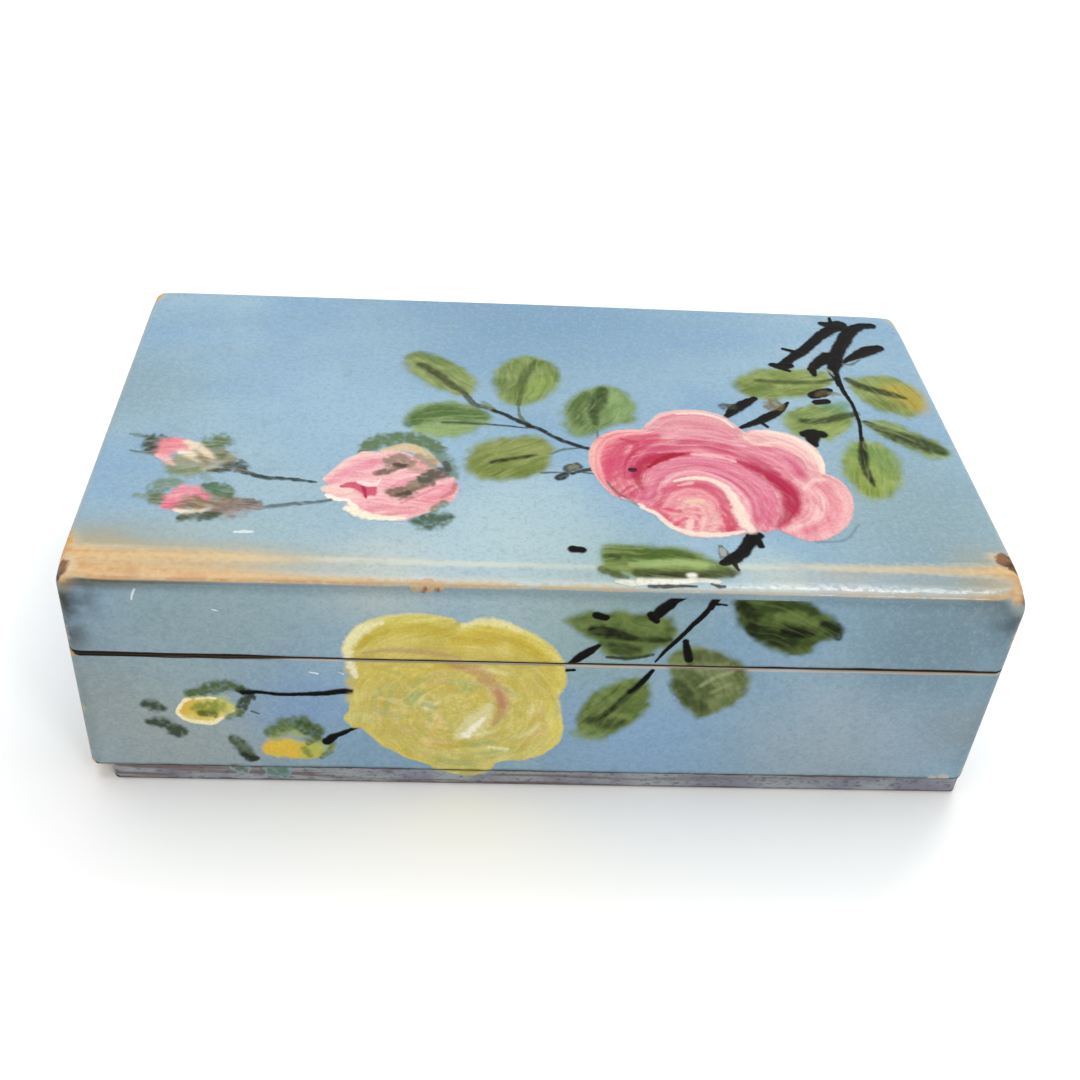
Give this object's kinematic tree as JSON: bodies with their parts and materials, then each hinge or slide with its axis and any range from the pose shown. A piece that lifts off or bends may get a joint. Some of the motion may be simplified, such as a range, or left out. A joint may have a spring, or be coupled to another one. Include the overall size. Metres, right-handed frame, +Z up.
{
  "type": "lidded wooden box",
  "caption": "Rectangular painted wooden box with rounded edges, rebated corners, a nailed-on bottom board and a lid that swings back on let-in butt hinges.",
  "frame": {"origin": "on the table under the middle of the box, on the underside of the bottom board", "axes": "+X to the right along the box, +Y to the back where the hinges are, +Z up"},
  "size_m": [0.2, 0.1207, 0.061],
  "materials": {
    "lid_paint": "sky-blue oil paint on wood, satin, rubbed through to bare wood along the edges",
    "wall_paint": "sky-blue oil paint on wood, satin, bare wood inside",
    "foot_paint": "grey-violet paint on wood, matt and rubbed",
    "hinge_brass": "dull old brass",
    "screw_brass": "dull old brass",
    "pin_steel": "bright wire"
  },
  "bodies": {
    "box": {"front_wall": "wall_paint", "back_wall": "wall_paint", "left_wall": "wall_paint", "right_wall": "wall_paint", "wall_corner_pins": "pin_steel", "bottom_board": "foot_paint", "bottom_nails": "pin_steel", "left_hinge_box_leaf": "hinge_brass", "right_hinge_box_leaf": "hinge_brass", "left_hinge_pin": "hinge_brass", "right_hinge_pin": "hinge_brass", "box_hinge_screws": "screw_brass"},
    "lid": {"lid_top_board": "lid_paint", "lid_front_rail": "lid_paint", "lid_back_rail": "lid_paint", "lid_left_rail": "lid_paint", "lid_right_rail": "lid_paint", "lid_corner_pins": "pin_steel", "left_hinge_lid_leaf": "hinge_brass", "right_hinge_lid_leaf": "hinge_brass", "lid_hinge_screws": "screw_brass"}
  },
  "joints": [
    {"name": "lid_hinge", "type": "hinge", "parent": "box", "child": "lid", "pos_m": [0, 0.06, 0.03955], "axis": [-1, 0, 0], "range_deg": [0, 180]}
  ]
}
